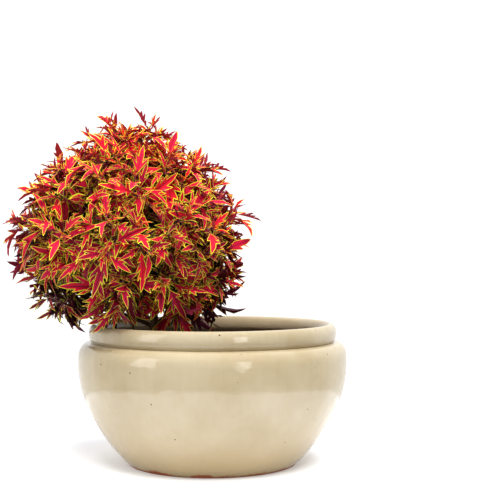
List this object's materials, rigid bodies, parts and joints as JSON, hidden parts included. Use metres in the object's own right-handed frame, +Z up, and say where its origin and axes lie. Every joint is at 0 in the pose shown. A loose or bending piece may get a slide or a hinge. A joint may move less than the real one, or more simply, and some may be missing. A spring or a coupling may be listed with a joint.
{
  "type": "potted coleus",
  "caption": "Bushy coleus mound with deeply cut red, lime-edged leaves, growing to one side of a wide cream glazed bowl planter.",
  "frame": {"origin": "centre of the bowl's flat underside, on the ground", "axes": "+Z up, -Y towards the viewer, +X to the viewer's right; the coleus stands towards -X in the bowl"},
  "size_m": [0.5444, 0.427, 0.5594],
  "materials": {
    "cream_glaze": "glossy cream glaze over terracotta",
    "potting_mix": "moist crumbly potting mix",
    "coleus_stem": "satin, slightly ridged",
    "coleus_leaf": "soft matt leaf"
  },
  "bodies": {
    "root": {"bough_hanging_back": "coleus_stem", "bough_hanging_front": "coleus_stem", "bough_lower_1": "coleus_stem", "bough_lower_2": "coleus_stem", "bough_lower_3": "coleus_stem", "bough_lower_4": "coleus_stem", "bough_lower_5": "coleus_stem", "bough_lower_6": "coleus_stem", "bough_lower_7": "coleus_stem", "bough_lower_8": "coleus_stem", "bough_upper_1": "coleus_stem", "bough_upper_2": "coleus_stem", "bough_upper_3": "coleus_stem", "bough_upper_4": "coleus_stem", "bough_upper_5": "coleus_stem", "bough_upper_6": "coleus_stem", "foliage_hanging_back": "coleus_leaf", "foliage_hanging_front": "coleus_leaf", "foliage_lower_1": "coleus_leaf", "foliage_lower_2": "coleus_leaf", "foliage_lower_3": "coleus_leaf", "foliage_lower_4": "coleus_leaf", "foliage_lower_5": "coleus_leaf", "foliage_lower_6": "coleus_leaf", "foliage_lower_7": "coleus_leaf", "foliage_lower_8": "coleus_leaf", "foliage_top": "coleus_leaf", "foliage_upper_1": "coleus_leaf", "foliage_upper_2": "coleus_leaf", "foliage_upper_3": "coleus_leaf", "foliage_upper_4": "coleus_leaf", "foliage_upper_5": "coleus_leaf", "foliage_upper_6": "coleus_leaf", "main_stem": "coleus_stem", "pot": "cream_glaze", "potting_mix": "potting_mix"}
  },
  "joints": []
}
